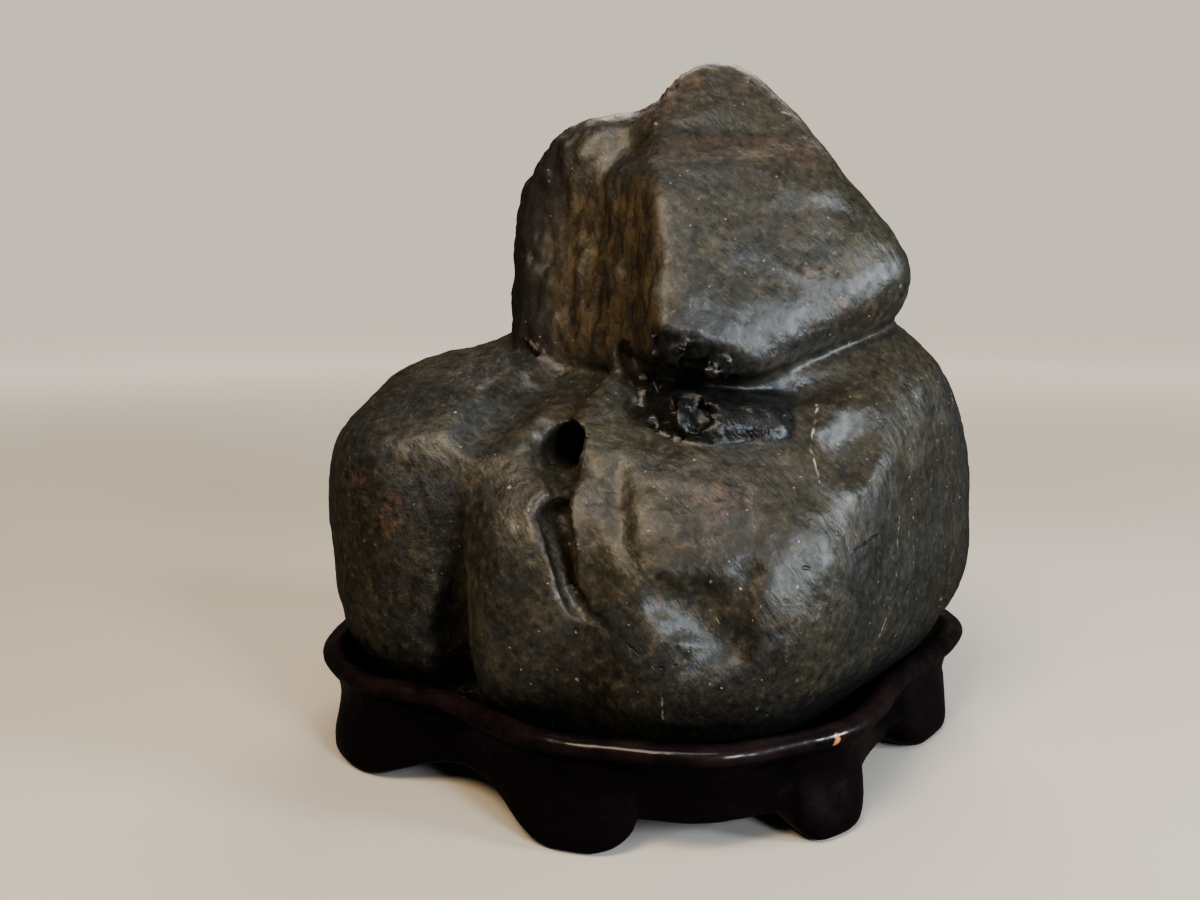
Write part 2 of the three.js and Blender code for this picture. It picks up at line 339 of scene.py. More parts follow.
    def chips(self, points: np.ndarray, track: Track) -> np.ndarray:
        """Depth of angular breakage: each cell of a random lattice is one tilted facet.

        Args:
            points: Places in maker's millimetres.
            track: The broken area, whose box holds the lattice.

        Returns:
            Millimetres that the facets stand in or out.
        """
        rng = np.random.default_rng(self.seed)
        rows = np.array(track.stations, np.float32)
        low = (rows[:, :3] - rows[:, 3:]).min(0) - self.chip_size
        high = (rows[:, :3] + rows[:, 3:]).max(0) + self.chip_size
        count = max(int(np.prod((high - low) / self.chip_size + 1)), 4)
        seeds = rng.uniform(low, high, (count, 3)).astype(np.float32)
        lean = rng.normal(0, self.chip_lean, (count, 3)).astype(np.float32)
        nearest = np.full(len(points), np.inf, np.float32)
        depth = np.zeros(len(points), np.float32)
        for place, tilt in zip(seeds, lean):
            offset = points - place
            away = np.einsum("ij,ij->i", offset, offset)
            closer = away < nearest
            nearest[closer] = away[closer]
            depth[closer] = np.clip(offset[closer] @ tilt, -self.chip_most, self.chip_most)
        return depth + self.chip_depth

    def distance(self, points: np.ndarray) -> np.ndarray:
        """Distances to the finished stone.

        Args:
            points: A list of places in maker's millimetres.

        Returns:
            One distance for each place, negative inside.
        """
        body = join(self.left.distance(points), self.middle.distance(points), 7)
        body = join(body, self.right.distance(points), 4)
        body = join(body, self.ridge.distance(points), 2)
        crown = join(self.head.distance(points), self.rear.distance(points), 4)
        crown = join(crown, self.peak.distance(points), 7)
        crown = cut(crown, self.scoop.distance(points), self.scoop.edge)
        solid = join(body, crown, 2.5)
        self.carve(points, solid, self.cuts[0])
        solid = join(solid, self.slab.distance(points), 0.8)
        close = self.lip.near(points, 6)
        solid[close] = join(solid[close], self.lip.distance(points[close]), self.lip.edge)
        for track in self.cuts[1:]:
            self.carve(points, solid, track)
        for track in self.broken:
            close = track.near(points, 5)
            if len(close):
                amount = track.mask(points[close], 3)
                solid[close] += amount * self.chips(points[close], track)
        return solid

    @staticmethod
    def carve(points: np.ndarray, solid: np.ndarray, track: Track) -> None:
        """Cuts one track out of the distances, in place.

        Args:
            points: A list of places.
            solid: Distances at the places, changed where the track reaches.
            track: The track to cut.
        """
        close = track.near(points, track.edge + 6)
        solid[close] = cut(solid[close], track.distance(points[close]), track.edge)


# ---------------------------------------------------------------- meshing


@dataclass(frozen=True)
class Lattice:
    """A block of evenly spaced samples."""

    low: Point
    high: Point
    step: float

    def axes(self) -> list[np.ndarray]:
        """Sample places along X, Y and Z."""
        return [np.arange(a, b + self.step, self.step, dtype=np.float32) for a, b in zip(self.low, self.high)]

    def sample(self, form: StoneForm) -> np.ndarray:
        """Distances over the whole block.

        Args:
            form: The shape that is sampled.

        Returns:
            A three-dimensional array of distances.
        """
        xs, ys, zs = self.axes()
        values = np.empty((len(xs), len(ys), len(zs)), np.float32)
        rows = 12
        for start in range(0, len(xs), rows):
            part = xs[start:start + rows]
            points = np.stack(np.meshgrid(part, ys, zs, indexing="ij"), -1).reshape(-1, 3)
            values[start:start + rows] = form.distance(points).reshape(len(part), len(ys), len(zs))
        return values


def surface_net(values: np.ndarray, origin: Point, step: float) -> tuple[np.ndarray, np.ndarray]:
    """A closed quad mesh round the negative samples.

    Args:
        values: Distances on an even lattice.
        origin: Place of the first sample.
        step: Spacing of the samples.

    Returns:
        Vertex places and quads of vertex numbers, facing out.
    """
    shape = values.shape
    cells = tuple(n - 1 for n in shape)
    count = np.zeros(cells, np.float32)
    total = np.zeros(cells + (3,), np.float32)
    for axis in range(3):
        others = [a for a in range(3) if a != axis]
        for corner in range(4):
            offset = [0, 0, 0]
            offset[others[0]], offset[others[1]] = corner & 1, corner >> 1
            begin = tuple(slice(offset[a], offset[a] + cells[a]) for a in range(3))
            offset[axis] += 1
            end = tuple(slice(offset[a], offset[a] + cells[a]) for a in range(3))
            offset[axis] -= 1
            first, second = values[begin], values[end]
            crosses = (first < 0) != (second < 0)
            share = np.where(crosses, first / np.where(crosses, first - second, 1), 0)
            count += crosses
            for a in range(3):
                total[..., a] += np.where(crosses, offset[a] + (share if a == axis else 0), 0)
    active = count > 0
    index = np.full(cells, -1, np.int64)
    index[active] = np.arange(int(active.sum()))
    places = np.argwhere(active) + total[active] / count[active][:, None]
    vertices = np.array(origin, np.float32) + places * step
    inside = values < 0
    quads = []
    for axis in range(3):
        u, w = ((1, 2), (2, 0), (0, 1))[axis]
        begin, end = [slice(None)] * 3, [slice(None)] * 3
        begin[axis], end[axis] = slice(0, -1), slice(1, None)
        before, after = inside[tuple(begin)], inside[tuple(end)]
        cells_at = np.argwhere(before != after)
        flip = after[tuple(cells_at.T)]
        corners = []
        for du, dw in ((-1, -1), (0, -1), (0, 0), (-1, 0)):
            moved = cells_at.copy()
            moved[:, u] += du
            moved[:, w] += dw
            corners.append(index[tuple(moved.T)])
        quad = np.stack(corners, 1)
        quad[flip] = quad[flip][:, ::-1]
        quads.append(quad)
    return vertices, np.concatenate(quads)


def unit(vectors: np.ndarray) -> np.ndarray:
    """The vectors at length one."""
    return vectors / np.maximum(np.linalg.norm(vectors, axis=-1, keepdims=True), 1e-9)


@dataclass
class Shell:
    """A quad mesh being worked on: places, faces, and painted masks."""

    places: np.ndarray
    quads: np.ndarray
    masks: dict[Mask, np.ndarray] = field(default_factory=dict)

    def edges(self) -> np.ndarray:
        """Every edge of every quad, once in each direction."""
        pairs = np.concatenate([self.quads[:, [k, (k + 1) % 4]] for k in range(4)])
        return np.concatenate([pairs, pairs[:, ::-1]])

    def mean_of_neighbours(self, values: np.ndarray) -> np.ndarray:
        """Each vertex's neighbours, averaged.

        Args:
            values: One row for each vertex.

        Returns:
            The averages, of the same shape.
        """
        pairs = self.edges()
        size = len(self.places)
        count = np.maximum(np.bincount(pairs[:, 0], minlength=size), 1)
        flat = values.reshape(size, -1)
        sums = [np.bincount(pairs[:, 0], flat[pairs[:, 1], k], size) / count for k in range(flat.shape[1])]
        return np.stack(sums, -1).reshape(values.shape).astype(np.float32)

    def normals(self) -> np.ndarray:
        """Vertex normals, weighted by area."""
        corner = self.places[self.quads]
        face = np.cross(corner[:, 2] - corner[:, 0], corner[:, 3] - corner[:, 1])
        size = len(self.places)
        total = np.zeros((size, 3))
        for k in range(4):
            for a in range(3):
                total[:, a] += np.bincount(self.quads[:, k], face[:, a], size)
        return unit(total).astype(np.float32)

    def settle(self, form: StoneForm, rounds: int) -> None:
        """Relaxes the mesh and puts its vertices back on the shape.

        Args:
            form: The shape.
            rounds: How many times.
        """
        probe, relax, flattest, longest = 0.35, 0.35, 0.2, 1.2
        for _ in range(rounds):
            here = self.places + relax * (self.mean_of_neighbours(self.places) - self.places)
            depth = form.distance(here)
            slope = np.stack([form.distance(here + probe * np.eye(3, dtype=np.float32)[a]) - depth
                              for a in range(3)], -1) / probe
            steep = np.maximum((slope * slope).sum(-1), flattest)
            move = np.clip(depth / steep, -longest, longest)
            self.places = (here - move[:, None] * slope).astype(np.float32)

    def bend(self, smoothing: int) -> np.ndarray:
        """How convex the surface is, averaged over a few rings of neighbours.

        Args:
            smoothing: Number of averaging rounds.

        Returns:
            Positive on edges and negative in hollows.
        """
        smooth = self.places
        for _ in range(smoothing):
            smooth = self.mean_of_neighbours(smooth)
        return np.einsum("ij,ij->i", self.places - smooth, self.normals())

    def mesh(self, name: str, shift: np.ndarray, caps: Sequence[list[int]] = ()) -> bpy.types.Mesh:
        """The Blender mesh in the row frame.

        Args:
            name: Name of the mesh.
            shift: Maker's millimetres to row millimetres.
            caps: Faces besides the quads.

        Returns:
            A mesh in metres with its masks as vertex attributes.
        """
        made = bpy.data.meshes.new(name)
        made.from_pydata(((self.places + shift) * MM).tolist(), [], self.quads.tolist() + list(caps))
        made.polygons.foreach_set("use_smooth", np.ones(len(made.polygons), bool))
        for mask, values in self.masks.items():
            layer = made.attributes.new(mask.value, "FLOAT", "POINT")
            layer.data.foreach_set("value", values.astype(np.float32))
        made.update()
        return made


# ---------------------------------------------------------------- node trees


@dataclass
class Graph:
    """Adds nodes to a tree and wires them as they are made."""

    tree: bpy.types.NodeTree

    def node(self, kind: str, inputs: dict[Any, Any] | None = None, **settings: Any) -> bpy.types.Node:
        """One node.

        Args:
            kind: Blender's name of the node type.
            inputs: Values or output sockets for its inputs, by name or number.
            **settings: Properties of the node.

        Returns:
            The new node.
        """
        made = self.tree.nodes.new(kind)
        for name, value in settings.items():
            setattr(made, name, value)
        for name, value in (inputs or {}).items():
            if isinstance(value, bpy.types.NodeSocket):
                self.tree.links.new(value, made.inputs[name])
            else:
                made.inputs[name].default_value = value
        return made

    def math(self, operation: str, *values: Any, clamp: bool = False) -> bpy.types.NodeSocket:
        """Arithmetic on numbers.

        Args:
            operation: Blender's name of the operation.
            *values: Numbers or sockets.
            clamp: Keep the result from 0 to 1.

        Returns:
            The result's socket.
        """
        return self.node("ShaderNodeMath", dict(enumerate(values)), operation=operation,
                         use_clamp=clamp).outputs[0]

    def times(self, *values: Any) -> bpy.types.NodeSocket:
        """A product of two or more numbers or sockets."""
        return reduce(lambda made, value: self.math("MULTIPLY", made, value), values)

    def plus(self, *values: Any) -> bpy.types.NodeSocket:
        """A sum of two or more numbers or sockets."""
        return reduce(lambda made, value: self.math("ADD", made, value), values)

    def most(self, *values: Any) -> bpy.types.NodeSocket:
        """The largest of two or more numbers or sockets."""
        return reduce(lambda made, value: self.math("MAXIMUM", made, value), values)

    def vector(self, operation: str, *values: Any, scale: Any = None) -> bpy.types.NodeSocket:
        """Arithmetic on vectors.

        Args:
            operation: Blender's name of the operation.
            *values: Vectors or sockets.
            scale: The factor of a SCALE.

        Returns:
            The result's socket.
        """
        inputs: dict[Any, Any] = dict(enumerate(values))
        if scale is not None:
            inputs["Scale"] = scale
        made = self.node("ShaderNodeVectorMath", inputs, operation=operation)
        return made.outputs["Value" if operation in ("LENGTH", "DOT_PRODUCT", "DISTANCE") else "Vector"]

    def step(self, value: Any, start: float, end: float) -> bpy.types.NodeSocket:
        """A smooth step from 0 to 1.

        Args:
            value: What is stepped.
            start: Where the step is 0.
            end: Where it is 1.

        Returns:
            The result's socket.
        """
        low, high, first, last = (start, end, 0.0, 1.0) if end > start else (end, start, 1.0, 0.0)
        return self.node("ShaderNodeMapRange", {"Value": value, "From Min": low, "From Max": high,
                                                "To Min": first, "To Max": last},
                         interpolation_type="SMOOTHSTEP").outputs[0]

    def mix(self, share: Any, first: Any, second: Any, blend: str = "MIX") -> bpy.types.NodeSocket:
        """Mixes two colours.

        Args:
            share: How much of the second.
            first: A colour or socket.
            second: A colour or socket.
            blend: Blender's blend mode.

        Returns:
            The mixed colour's socket.
        """
        return self.node("ShaderNodeMix", {0: share, 6: first, 7: second}, data_type="RGBA",
                         blend_type=blend).outputs[2]

    def spread(self, texture: Any, low: float, high: float) -> bpy.types.NodeSocket:
        """A texture's middle range spread between two values.

        Args:
            texture: A value from 0 to 1.
            low: Result at 0.3.
            high: Result at 0.7.

        Returns:
            The result's socket.
        """
        return self.node("ShaderNodeMapRange", {"Value": texture, "From Min": 0.3, "From Max": 0.7,
                                                "To Min": low, "To Max": high}).outputs[0]

    def noise(self, place: Any, scale: float, detail: float = 4, roughness: float = 0.55,
              distortion: float = 0) -> bpy.types.NodeSocket:
        """Fractal noise from 0 to 1.

        Args:
            place: Coordinates.
            scale: Lumps for each unit of the coordinates.
            detail: Octaves.
            roughness: Strength of each finer octave.
            distortion: Swirl.

        Returns:
            The value's socket.
        """
        return self.node("ShaderNodeTexNoise", {"Vector": place, "Scale": scale, "Detail": detail,
                                                "Roughness": roughness, "Distortion": distortion}).outputs[0]

    def cells(self, place: Any, scale: float, feature: str = "F1") -> bpy.types.Node:
        """A cell pattern.

        Args:
            place: Coordinates.
            scale: Cells for each unit of the coordinates.
            feature: Blender's name of the measured feature.

        Returns:
            The Voronoi node.
        """
        return self.node("ShaderNodeTexVoronoi", {"Vector": place, "Scale": scale}, feature=feature)

    def stretched(self, place: Any, turn: Point, scale: Point) -> bpy.types.NodeSocket:
        """Coordinates turned and stretched, for streaks.

        Args:
            place: Coordinates.
            turn: Degrees about X, Y and Z.
            scale: Factors along the turned axes.

        Returns:
            The new coordinates.
        """
        angles = tuple(math.radians(a) for a in turn)
        turned = self.node("ShaderNodeVectorRotate", {"Vector": place, "Rotation": angles},
                           rotation_type="EULER_XYZ")
        return self.vector("MULTIPLY", turned.outputs[0], scale)

    def attribute(self, mask: Mask) -> bpy.types.NodeSocket:
        """A painted mask, in a material."""
        return self.node("ShaderNodeAttribute", attribute_name=mask.value).outputs["Fac"]


def begin_material(name: str) -> tuple[bpy.types.Material, Graph, bpy.types.Node, bpy.types.NodeSocket]:
    """An empty Principled material.

    Args:
        name: Name of the material.

    Returns:
        The material, its graph, its shader node, and object coordinates in row millimetres.
    """
    made = bpy.data.materials.new(name)
    made.use_nodes = True
    made.node_tree.nodes.clear()
    graph = Graph(made.node_tree)
    shader = graph.node("ShaderNodeBsdfPrincipled")
    graph.node("ShaderNodeOutputMaterial", {"Surface": shader.outputs[0]})
    place = graph.node("ShaderNodeTexCoord").outputs["Object"]
    return made, graph, shader, graph.vector("SCALE", place, scale=1 / MM)


def vein_group() -> bpy.types.NodeTree:
    """A shader group that marks a thin straight line between two places.

    Returns:
        The group, with Vector, From, To and Width in and Mask out.
    """
    tree = bpy.data.node_groups.new("thin_line", "ShaderNodeTree")
    for name, kind in (("Vector", "Vector"), ("From", "Vector"), ("To", "Vector"), ("Width", "Float")):
        tree.interface.new_socket(name, in_out="INPUT", socket_type="NodeSocket" + kind)
    tree.interface.new_socket("Mask", in_out="OUTPUT", socket_type="NodeSocketFloat")
    graph = Graph(tree)
    given = graph.node("NodeGroupInput").outputs
    reach = graph.vector("SUBTRACT", given["Vector"], given["From"])
    along = graph.vector("SUBTRACT", given["To"], given["From"])
    share = graph.math("DIVIDE", graph.vector("DOT_PRODUCT", reach, along),
                       graph.vector("DOT_PRODUCT", along, along), clamp=True)
    foot = graph.vector("SCALE", along, scale=share)
    away = graph.vector("LENGTH", graph.vector("SUBTRACT", reach, foot))
    ratio = graph.math("DIVIDE", away, given["Width"])
    graph.node("NodeGroupOutput", {"Mask": graph.step(ratio, 1.0, 0.35)})
    return tree


# ---------------------------------------------------------------- finishes


@dataclass(frozen=True)
class StoneFinish:
    """Hand-oiled dark river stone: satin grey-green-brown, pale flecks, ochre and black breaks, and painted
    shade in hollows, under the head, on the right flank and at the foot.
    """

    shift: Point
    ground: Colour = (0.033, 0.029, 0.0190, 1)
    light_ground: Colour = (0.060, 0.052, 0.034, 1)
    dark_ground: Colour = (0.012, 0.0095, 0.0065, 1)
    blue_grey: Colour = (0.027, 0.029, 0.027, 1)
    tan: Colour = (0.18, 0.13, 0.078, 1)
    pale: Colour = (0.36, 0.32, 0.26, 1)
    pink: Colour = (0.16, 0.085, 0.065, 1)
    ochre: Colour = (0.105, 0.072, 0.034, 1)
    umber: Colour = (0.016, 0.0105, 0.006, 1)
    black: Colour = (0.006, 0.0065, 0.0068, 1)
    fresh: Colour = (0.013, 0.013, 0.0125, 1)
    # darker brown skin with painted shade
    side_shade_and_skin: Colour = (0.0075, 0.0052, 0.0030, 1)
    rust_and_lit_edge: Colour = (0.15, 0.068, 0.038, 1)
    patch_scale: float = 0.055
    mottle_scale: float = 0.42
    bloom_scale: float = 0.06
    bloom_shift: Point = (51.0, 17.0, 9.0)
    streak_stretch: Point = (0.26, 0.26, 0.085)
    roughness: tuple[float, float] = (0.30, 0.46)
    bump_strength: float = 0.7
    bump_depth: float = 0.7
    coat: float = 0.14
    coat_roughness: float = 0.3
    shine: float = 0.34
    veins: tuple[tuple[tuple[Point, ...], float], ...] = (
        (((40.5, -34, 111), (39, -42, 104), (36, -50.5, 95.5), (37, -57, 87.5)), 0.58),
        (((62, -41.5, 76), (61.5, -43.5, 62), (56, -47.5, 45)), 0.40),
        (((-4, -75, 47), (-2.6, -75.5, 40), (-2, -73, 31)), 0.45),
        (((6.5, -77.5, 60), (2.5, -77, 53), (0, -76.8, 49.5)), 0.50),
        (((14, -76, 60), (9, -78, 51)), 0.40),
        (((-39, 2, 110), (-30, -10, 111), (-15, -15, 113.5)), 0.40),
        (((-84, -8, 104), (-72, -17, 104), (-55, -20, 105)), 0.32),
    )
    cracks: tuple[tuple[tuple[Point, ...], float], ...] = (
        (((29.5, -45, 122.5), (36.5, -44.5, 123.5), (45, -40, 131), (55, -35, 137), (66, -28, 138)), 0.42),
        (((36.5, -44.5, 123.5), (37, -45, 118)), 0.40),
        (((31, -70, 69.3), (44, -61, 70.8), (54.3, -50.2, 73.3)), 0.50),
        (((-10.5, -74, 52), (-4, -76, 47), (1, -76.5, 48)), 0.40),
    )

    def lines(self, graph: Graph, place: bpy.types.NodeSocket,
              paths: tuple[tuple[tuple[Point, ...], float], ...]) -> bpy.types.NodeSocket:
        """Thin lines along several paths.

        Args:
            graph: The material's graph.
            place: Coordinates, already made a little uneven.
            paths: Points in maker's millimetres, with each path's half width.

        Returns:
            A mask of all the lines.
        """
        group = bpy.data.node_groups.get("thin_line") or vein_group()
        total: Any = 0.0
        for points, width in paths:
            moved = [tuple(float(c + s) for c, s in zip(point, self.shift)) for point in points]
            for start, end in zip(moved[:-1], moved[1:]):
                line = graph.node("ShaderNodeGroup", node_tree=group)
                graph.tree.links.new(place, line.inputs["Vector"])
                line.inputs["From"].default_value = start
                line.inputs["To"].default_value = end
                line.inputs["Width"].default_value = width
                total = graph.math("MAXIMUM", total, line.outputs[0])
        return total

    @staticmethod
    def marks(graph: Graph, place: bpy.types.NodeSocket,
              uneven: bpy.types.NodeSocket) -> bpy.types.NodeSocket:
        """Pale flecks and short scratches.

        Args:
            graph: The material's graph.
            place: Coordinates.
            uneven: The same, made a little uneven.

        Returns:
            A mask of all of them.
        """
        made = []
        # scale of the cells, channel that picks them, size and share of the flecks
        for scale, channel, rim, core, fewest, most in ((0.42, 0, 0.16, 0.07, 0.80, 0.84),
                                                        (0.16, 1, 0.11, 0.05, 0.86, 0.9)):
            fleck = graph.cells(uneven, scale)
            chance = graph.node("ShaderNodeSeparateColor", {0: fleck.outputs["Color"]}).outputs[channel]
            made.append(graph.times(graph.step(fleck.outputs["Distance"], rim, core),
                                    graph.step(chance, fewest, most)))
        # turn and stretch of the scratches, their share, and where they gather
        for turn, stretch, thin, thick, area, start, end in (
                ((0, 32, 20), (1.5, 1.5, 0.11), 0.72, 0.78, 0.05, 0.45, 0.62),
                ((20, -48, 0), (1.3, 1.3, 0.10), 0.73, 0.79, 0.041, 0.5, 0.66)):
            dash = graph.noise(graph.stretched(uneven, turn, stretch), 1.0, 2, 0.5)
            made.append(graph.times(graph.step(dash, thin, thick),
                                    graph.step(graph.noise(place, area, 2), start, end)))
        return graph.most(*made)

    def material(self) -> bpy.types.Material:
        """Builds the stone's material.

        Returns:
            The material.
        """
        made, graph, shader, place = begin_material("oiled_stone")
        mask = {m: graph.attribute(m) for m in Mask if m is not Mask.REST}
        wobble = graph.node("ShaderNodeTexNoise", {"Vector": place, "Scale": 0.35, "Detail": 3.0})
        uneven = graph.vector("MULTIPLY_ADD", wobble.outputs["Color"], (2.2, 2.2, 2.2), place)
        uneven = graph.vector("SUBTRACT", uneven, (1.1, 1.1, 1.1))
        # ground colour: broad clouds, then fine mottling
        clouds = graph.noise(place, 0.028, 4, 0.6, 0.4)
        colour = graph.mix(graph.step(clouds, 0.38, 0.66), self.ground, self.blue_grey)
        patches = graph.noise(place, self.patch_scale, 5, 0.65)
        mottle = graph.noise(place, self.mottle_scale, 6, 0.7)
        for texture, start, end, strength, tint in (
                (patches, 0.5, 0.68, 0.85, self.light_ground), (patches, 0.46, 0.3, 0.7, self.dark_ground),
                (mottle, 0.5, 0.72, 0.36, self.tan), (mottle, 0.5, 0.34, 0.75, self.dark_ground)):
            colour = graph.mix(graph.times(graph.step(texture, start, end), strength), colour, tint)
        bloom = graph.noise(graph.vector("ADD", place, self.bloom_shift), self.bloom_scale, 4, 0.6)
        bloom = graph.times(graph.step(bloom, 0.6, 0.74), graph.step(mottle, 0.4, 0.6))
        colour = graph.mix(graph.times(bloom, 0.5), colour, self.pink)
        # worn edges are lighter; the right flank and the rear block are darker, a darker brown skin with
        # painted shade
        worn = graph.times(mask[Mask.EDGE], graph.step(mottle, 0.35, 0.65))
        colour = graph.mix(graph.times(worn, 0.30), colour, self.tan)
        colour = graph.mix(graph.times(mask[Mask.SMOKE], 0.82), colour, self.side_shade_and_skin)
        # ochre scoop with brown streaks down it
        streak = graph.noise(graph.stretched(uneven, (0, 14, 0), self.streak_stretch), 1.0, 6, 0.72, 0.8)
        ochre = graph.mix(graph.step(streak, 0.36, 0.70), self.umber, self.ochre)
        scoop = graph.times(mask[Mask.SCOOP], graph.step(graph.noise(place, 0.09, 4, 0.6), 0.22, 0.46))
        colour = graph.mix(graph.times(scoop, 0.9), colour, ochre)
        # rusty stains, and the painted reddish highlight on lit lips
        colour = graph.mix(graph.times(mask[Mask.RUST_AND_LIT_EDGES], graph.step(mottle, 0.36, 0.6)), colour, self.rust_and_lit_edge)
        # flecks, short scratches and pale veins
        marks = graph.times(self.marks(graph, place, uneven), 0.55)
        veins = self.lines(graph, uneven, self.veins)
        veins = graph.times(veins, graph.step(graph.noise(place, 0.4, 2), 0.35, 0.6))
        marks = graph.most(marks, graph.times(veins, 0.75))
        clean = graph.most(mask[Mask.BROKEN_AND_GAP_SHADE], graph.times(mask[Mask.SCOOP], 0.7))
        clean = graph.math("SUBTRACT", 1.0, clean)
        colour = graph.mix(graph.times(marks, clean), colour, self.pale)
        # painted shade in hollows, painted shade with dark wax on the foot, black breaks with painted shade
        # in the gap under the head, and cracks
        colour = graph.mix(graph.times(mask[Mask.CAVITY_SHADE], 0.85), colour, self.umber)
        colour = graph.mix(graph.times(mask[Mask.FOOT_SHADE_AND_WAX], 0.8), colour, self.black)
        broken = graph.mix(graph.step(mottle, 0.36, 0.62), self.black, self.fresh)
        colour = graph.mix(graph.times(mask[Mask.BROKEN_AND_GAP_SHADE], 0.9), colour, broken)
        cracks = self.lines(graph, uneven, self.cracks)
        colour = graph.mix(graph.times(cracks, 0.9), colour, self.umber)
        graph.tree.links.new(colour, shader.inputs["Base Color"])
        # gloss
        smudge = graph.noise(place, 0.3, 6, 0.75)
        polish = graph.spread(smudge, *self.roughness)
        polish = graph.plus(polish, graph.times(scoop, 0.22), graph.times(mask[Mask.CAVITY_SHADE], 0.2))
        polish = graph.math("SUBTRACT", polish, graph.times(mask[Mask.BROKEN_AND_GAP_SHADE], 0.17), clamp=True)
        polish = graph.math("ADD", polish, graph.times(mask[Mask.SMOKE], 0.35), clamp=True)
        graph.tree.links.new(polish, shader.inputs["Roughness"])
        shader.inputs["Specular IOR Level"].default_value = self.shine
        shader.inputs["Coat Weight"].default_value = self.coat
        shader.inputs["Coat Roughness"].default_value = self.coat_roughness
        # fine relief: sandy grain, slanting hammer marks, pocks and lines
        grain = graph.noise(place, 1.6, 5, 0.7)
        hammer = graph.noise(graph.stretched(place, (0, 35, 0), (0.75, 0.6, 0.26)), 1.0, 3, 0.55)
        pock = graph.step(graph.cells(uneven, 0.30).outputs["Distance"], 0.16, 0.42)
        rough = graph.math("MULTIPLY_ADD", mask[Mask.PITS], 1.6, 0.25)
        facets = graph.cells(uneven, 0.34, "DISTANCE_TO_EDGE").outputs["Distance"]
        height = graph.plus(
            graph.times(grain, 0.16), graph.times(hammer, 0.55), graph.times(pock, 0.14),
            graph.times(graph.noise(place, 0.7, 5, 0.75), rough),
            graph.times(streak, graph.times(mask[Mask.SCOOP], 0.9)),
            graph.times(facets, graph.times(mask[Mask.BROKEN_AND_GAP_SHADE], 0.5)))
        height = graph.math("SUBTRACT", height, graph.times(cracks, 0.9))
        height = graph.math("SUBTRACT", height, graph.times(marks, 0.10))
        bump = graph.node("ShaderNodeBump", {"Strength": self.bump_strength, "Distance": self.bump_depth * MM,
                                             "Height": height})
        graph.tree.links.new(bump.outputs[0], shader.inputs["Normal"])
        return made


@dataclass(frozen=True)
class WoodFinish:
    """Near-black hardwood with a wine-red tint, waxed to a satin gloss."""

    chip_at: Point
    ground: Colour = (0.0042, 0.0030, 0.0036, 1)
    wine: Colour = (0.0080, 0.0036, 0.0055, 1)
    worn: Colour = (0.026, 0.015, 0.013, 1)
    dust: Colour = (0.40, 0.37, 0.34, 1)
    bare: Colour = (0.50, 0.22, 0.09, 1)
    roughness: tuple[float, float] = (0.26, 0.44)
    bump_strength: float = 0.35
    bump_depth: float = 0.5
    coat: float = 0.3
    coat_roughness: float = 0.13
    shine: float = 0.1

    def material(self) -> bpy.types.Material:
        """Builds the stand's material.

        Returns:
            The material.
        """
        made, graph, shader, place = begin_material("waxed_dark_wood")
        grain = graph.noise(graph.stretched(place, (0, 4, 6), (0.035, 0.5, 0.6)), 1.0, 6, 0.7, 0.5)
        pores = graph.noise(graph.stretched(place, (0, 4, 6), (0.12, 2.4, 2.4)), 1.0, 2, 0.6)
        colour = graph.mix(graph.step(grain, 0.40, 0.66), self.ground, self.wine)
        rubbed = graph.step(graph.noise(place, 0.09, 4, 0.65), 0.36, 0.62)
        edge = graph.times(graph.attribute(Mask.EDGE), rubbed)
        colour = graph.mix(graph.times(edge, 0.5), colour, self.worn)
        specks = graph.cells(place, 0.10)
        chance = graph.node("ShaderNodeSeparateColor", {0: specks.outputs["Color"]}).outputs[0]
        dust = graph.times(graph.step(specks.outputs["Distance"], 0.036, 0.02),
                           graph.step(chance, 0.72, 0.76))
        colour = graph.mix(graph.times(dust, 0.7), colour, self.dust)
        chip = graph.vector("MULTIPLY", graph.vector("SUBTRACT", place, self.chip_at), (0.75, 1.0, 0.65))
        chip = graph.math("ADD", graph.vector("LENGTH", chip), graph.times(graph.noise(place, 1.2, 3), 0.9))
        chip = graph.step(chip, 1.55, 1.15)
        colour = graph.mix(chip, colour, self.bare)
        # painted shade: the underside and the seat under the stone are darkened to the plain ground
        colour = graph.mix(graph.times(graph.attribute(Mask.CAVITY_SHADE), 0.8), colour, self.ground)
        graph.tree.links.new(colour, shader.inputs["Base Color"])
        smudge = graph.noise(place, 0.12, 5, 0.7)
        gloss = graph.spread(smudge, *self.roughness)
        gloss = graph.math("ADD", gloss, graph.times(dust, 0.4), clamp=True)
        graph.tree.links.new(gloss, shader.inputs["Roughness"])
        shader.inputs["Specular IOR Level"].default_value = self.shine
        shader.inputs["Coat Weight"].default_value = self.coat
        shader.inputs["Coat Roughness"].default_value = self.coat_roughness
        ripple = graph.noise(place, 0.32, 3, 0.5)
        height = graph.plus(graph.times(pores, 0.10), graph.times(ripple, 0.9))
        height = graph.math("SUBTRACT", height, graph.times(chip, 0.8))
        bump = graph.node("ShaderNodeBump", {"Strength": self.bump_strength, "Distance": self.bump_depth * MM,
                                             "Height": height})
        graph.tree.links.new(bump.outputs[0], shader.inputs["Normal"])
        return made


